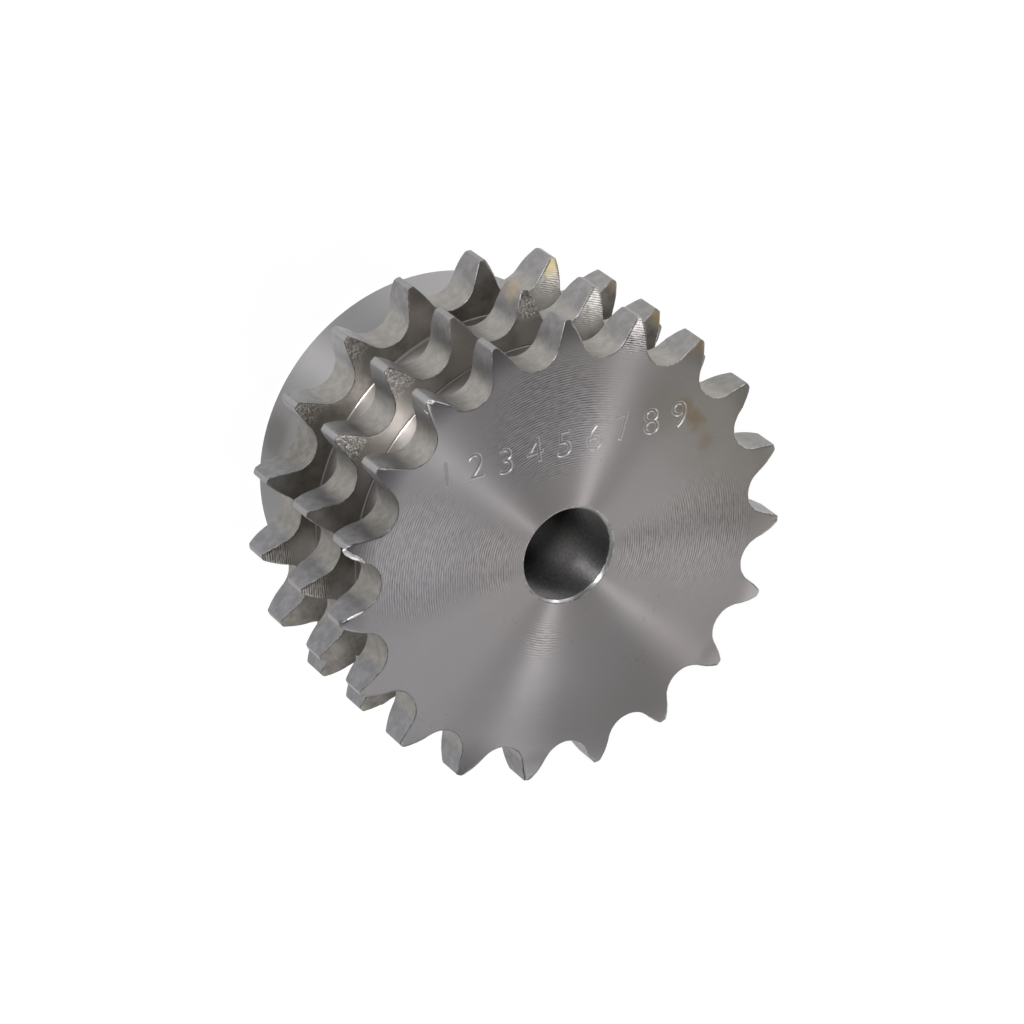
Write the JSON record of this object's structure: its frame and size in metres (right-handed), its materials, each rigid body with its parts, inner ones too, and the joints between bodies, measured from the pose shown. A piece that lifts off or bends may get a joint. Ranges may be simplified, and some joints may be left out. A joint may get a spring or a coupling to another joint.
{
  "type": "triplex roller chain sprocket",
  "caption": "Triplex roller-chain sprocket turned and toothed from solid steel, with a plain hub behind the teeth and a plain pilot bore.",
  "frame": {"origin": "on the bore's axis at the hub's end face, which the part stands on", "axes": "+Z along the bore's axis from the hub's end face up to the far side face of the teeth; +X through the middle of a tooth gap"},
  "size_m": [0.0813, 0.0816, 0.05],
  "materials": {
    "sprocket": "turned and hobbed steel, left bare and lightly oiled"
  },
  "bodies": {
    "root": {"sprocket": "sprocket"}
  },
  "joints": []
}
